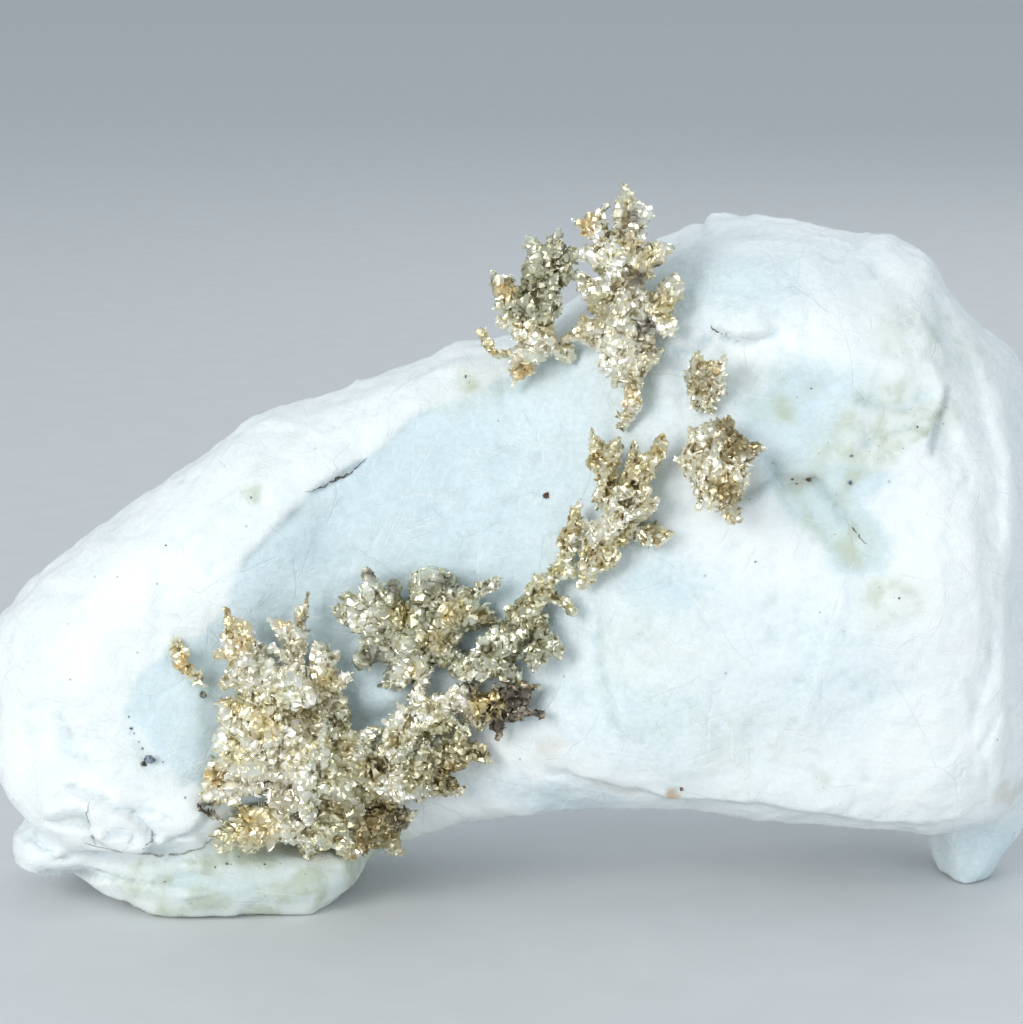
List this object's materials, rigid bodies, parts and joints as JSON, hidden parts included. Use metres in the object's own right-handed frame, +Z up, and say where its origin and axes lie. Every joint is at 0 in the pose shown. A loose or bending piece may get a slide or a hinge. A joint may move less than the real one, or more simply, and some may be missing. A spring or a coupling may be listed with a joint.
{
  "type": "native silver on matrix",
  "caption": "Branching golden-toned native silver crystals across a massive white rock matrix that stands on a lip and a foot.",
  "frame": {"origin": "bottom centre of the bounding box, on the surface that the rock stands on", "axes": "+X to the right along the rock's length, +Y through its depth from the face to the back, +Z up"},
  "size_m": [0.1134, 0.0404, 0.0722],
  "materials": {
    "white_rock": "massive white rock, satin, faintly blue-grey, with fine scratches and specks",
    "native_silver": "bright native silver crystals with a pale golden and partly grey tarnish",
    "tarnished_silver": "native silver under a dark brown to black tarnish",
    "dark_ore": "dark blue-grey mineral grain, dull metallic"
  },
  "bodies": {
    "root": {"rock_matrix": "white_rock", "mass_heart": "native_silver", "east_arm": "native_silver", "south_fringe": "native_silver", "west_lobe": "native_silver", "northeast_arm": "native_silver", "spire_northwest": "native_silver", "north_branch": "native_silver", "southwest_arm": "native_silver", "flower_stalk": "native_silver", "tall_spray_body": "native_silver", "tall_spray_crown": "native_silver", "tall_spray_tail": "native_silver", "left_spray_crown": "native_silver", "left_spray_foot": "native_silver", "fan_body": "native_silver", "fan_left": "native_silver", "fan_right_arm": "native_silver", "chain_lower": "native_silver", "tarnished_knot": "tarnished_silver", "chain_upper": "native_silver", "bead_cluster": "native_silver", "middle_stem": "native_silver", "middle_right_fork": "native_silver", "middle_left_fork": "native_silver", "middle_needle": "native_silver", "shelf_sprig": "native_silver", "round_tuft": "native_silver", "small_tuft": "native_silver", "stray_nugget": "native_silver", "stray_wire": "native_silver", "dark_grain_large": "dark_ore", "dark_grain_round": "dark_ore"}
  },
  "joints": []
}
